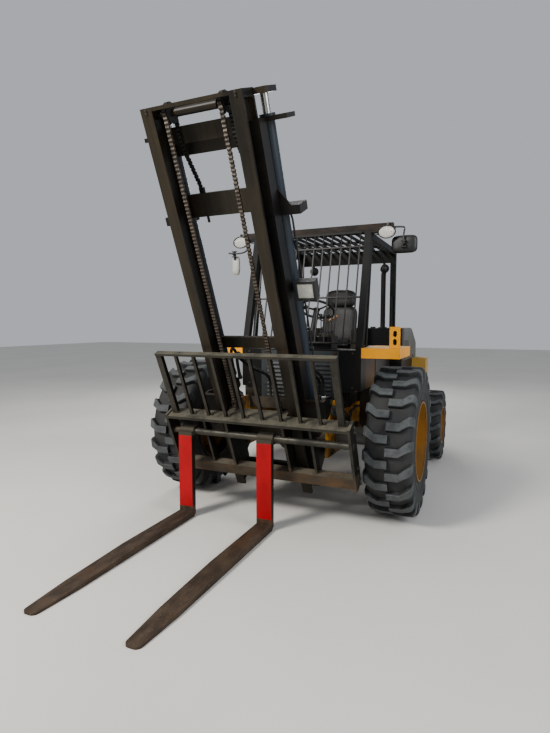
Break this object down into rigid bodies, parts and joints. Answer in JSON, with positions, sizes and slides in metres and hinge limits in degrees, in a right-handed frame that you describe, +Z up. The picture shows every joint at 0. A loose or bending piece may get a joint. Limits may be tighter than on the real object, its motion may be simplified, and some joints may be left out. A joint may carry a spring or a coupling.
{
  "type": "rough terrain forklift",
  "caption": "Two-stage mast forklift on large lugged drive tyres, with floating forks on a shaft carriage, an open canopy, a louvred cowl and rear steering.",
  "frame": {"origin": "on the ground below the middle of the outline, forks included", "axes": "-Y forward, +X towards the machine's left, +Z up"},
  "size_m": [2.4, 5.458, 3.1304],
  "materials": {
    "chassis_yellow": "worn gloss enamel",
    "mast_black": "weathered enamel, dusty on the sunlit faces",
    "canopy_black": "satin enamel",
    "worn_steel": "rusty, rubbed bare",
    "fork_red": "red shank, bare rusty blade",
    "chrome_rod": "polished",
    "barrel_grey": "blue-grey enamel",
    "chain_steel": "oiled, rusty",
    "rubber": "dusty tread",
    "rim_yellow": "ochre enamel",
    "cast_yellow": "painted casting",
    "grille_black": "satin",
    "engine_grey": "oily casting",
    "cowl_grey": "satin enamel",
    "deck_black": "worn, dusty",
    "seat_vinyl": "black vinyl",
    "plastic_black": "moulded",
    "lamp_housing": "moulded with a clear lens",
    "exhaust_steel": "heat-browned"
  },
  "bodies": {
    "chassis": {"chassis_frame": "chassis_yellow", "front_axle": "deck_black", "rear_axle": "deck_black", "engine_block": "engine_grey", "counterweight": "cast_yellow", "rear_grille": "grille_black", "engine_surround": "chassis_yellow", "side_tanks": "chassis_yellow", "floor_deck": "deck_black", "front_cowl": "cowl_grey", "fenders": "chassis_yellow", "canopy_frame": "canopy_black", "front_guard": "canopy_black", "seat_base": "deck_black", "seat_cushion": "seat_vinyl", "seat_back": "seat_vinyl", "steering_column": "plastic_black", "steering_wheel": "plastic_black", "control_levers": "plastic_black", "mirrors": "plastic_black", "work_lamps": "lamp_housing", "exhaust_stack": "exhaust_steel", "drive_line": "engine_grey"},
    "tie_rod": {"tie_rod": "deck_black"},
    "hood": {"engine_hood": "chassis_yellow"},
    "knuckle_left": {"knuckle_left": "deck_black"},
    "knuckle_right": {"knuckle_right": "deck_black"},
    "wheel_front_left": {"front_tyre_left": "rubber", "front_rim_left": "rim_yellow"},
    "wheel_front_right": {"front_tyre_right": "rubber", "front_rim_right": "rim_yellow"},
    "wheel_rear_left": {"rear_tyre_left": "rubber", "rear_rim_left": "rim_yellow"},
    "wheel_rear_right": {"rear_tyre_right": "rubber", "rear_rim_right": "rim_yellow"},
    "mast_outer": {"outer_mast": "mast_black", "lift_barrels": "barrel_grey", "mast_lamp": "lamp_housing"},
    "mast_inner": {"inner_mast": "mast_black", "lift_rods": "chrome_rod", "chain_sheaves": "worn_steel", "lift_chains": "chain_steel"},
    "carriage": {"carriage": "mast_black", "load_guard": "mast_black", "fork_shaft": "worn_steel"},
    "fork_left": {"fork_left": "fork_red"},
    "fork_right": {"fork_right": "fork_red"},
    "tilt_barrels": {"tilt_barrels": "mast_black"},
    "tilt_rods": {"tilt_rods": "chrome_rod"}
  },
  "joints": [
    {"name": "mast_tilt", "type": "hinge", "parent": "chassis", "child": "mast_outer", "pos_m": [0, -0.488, 0.56], "axis": [-1, 0, 0], "range_deg": [0, 34.3]},
    {"name": "mast_lift", "type": "slide", "parent": "mast_outer", "child": "mast_inner", "axis": [0, -0.412, 0.9112], "range_m": [-0.105, 1.95]},
    {"name": "carriage_lift", "type": "slide", "parent": "mast_inner", "child": "carriage", "axis": [0, -0.412, 0.9112], "range_m": [-0.105, 1.95], "deforming": ["lift_chains"]},
    {"name": "fork_swing_left", "type": "hinge", "parent": "carriage", "child": "fork_left", "pos_m": [0.099, -1.064, 0.736], "axis": [-1, 0, 0], "range_deg": [-24.3, 45]},
    {"name": "fork_swing_right", "type": "hinge", "parent": "carriage", "child": "fork_right", "pos_m": [-0.635, -1.064, 0.736], "axis": [-1, 0, 0], "range_deg": [-24.3, 45]},
    {"name": "tilt_barrel_swing", "type": "hinge", "parent": "chassis", "child": "tilt_barrels", "pos_m": [0, 0.032, 0.65], "axis": [-1, 0, 0], "range_deg": [-2, 25]},
    {"name": "tilt_rod_slide", "type": "slide", "parent": "tilt_barrels", "child": "tilt_rods", "axis": [0, -0.9112, 0.4119], "range_m": [-0.3, 0.01]},
    {"name": "steer_left", "type": "hinge", "parent": "chassis", "child": "knuckle_left", "pos_m": [0.85, 1.689, 0.418], "axis": [0, 0, 1], "range_deg": [-50, 50]},
    {"name": "steer_right", "type": "hinge", "parent": "chassis", "child": "knuckle_right", "pos_m": [-0.85, 1.689, 0.418], "axis": [0, 0, 1], "range_deg": [-50, 50]},
    {"name": "spin_front_left", "type": "hinge", "parent": "chassis", "child": "wheel_front_left", "pos_m": [1.0075, -0.268, 0.64], "axis": [1, 0, 0], "continuous": true},
    {"name": "spin_front_right", "type": "hinge", "parent": "chassis", "child": "wheel_front_right", "pos_m": [-1.0075, -0.268, 0.64], "axis": [1, 0, 0], "continuous": true},
    {"name": "spin_rear_left", "type": "hinge", "parent": "knuckle_left", "child": "wheel_rear_left", "pos_m": [1.0375, 1.689, 0.418], "axis": [1, 0, 0], "continuous": true},
    {"name": "spin_rear_right", "type": "hinge", "parent": "knuckle_right", "child": "wheel_rear_right", "pos_m": [-1.0375, 1.689, 0.418], "axis": [1, 0, 0], "continuous": true},
    {"name": "hood_lift", "type": "hinge", "parent": "chassis", "child": "hood", "pos_m": [0, 1.635, 1.6], "axis": [1, 0, 0], "range_deg": [0, 55]},
    {"name": "tie_rod_swing", "type": "hinge", "parent": "knuckle_left", "child": "tie_rod", "pos_m": [0.85, 1.839, 0.38], "axis": [0, 0, 1], "range_deg": [-50, 50]}
  ],
  "couplings": [
    {"joint": "carriage_lift", "follows": "mast_lift", "ratio": 1},
    {"joint": "tilt_barrel_swing", "follows": "mast_tilt", "ratio": 0.5197},
    {"joint": "tilt_rod_slide", "follows": "mast_tilt", "m_per_rad": -0.34853},
    {"joint": "steer_right", "follows": "steer_left", "ratio": 1},
    {"joint": "tie_rod_swing", "follows": "steer_left", "ratio": -1}
  ]
}
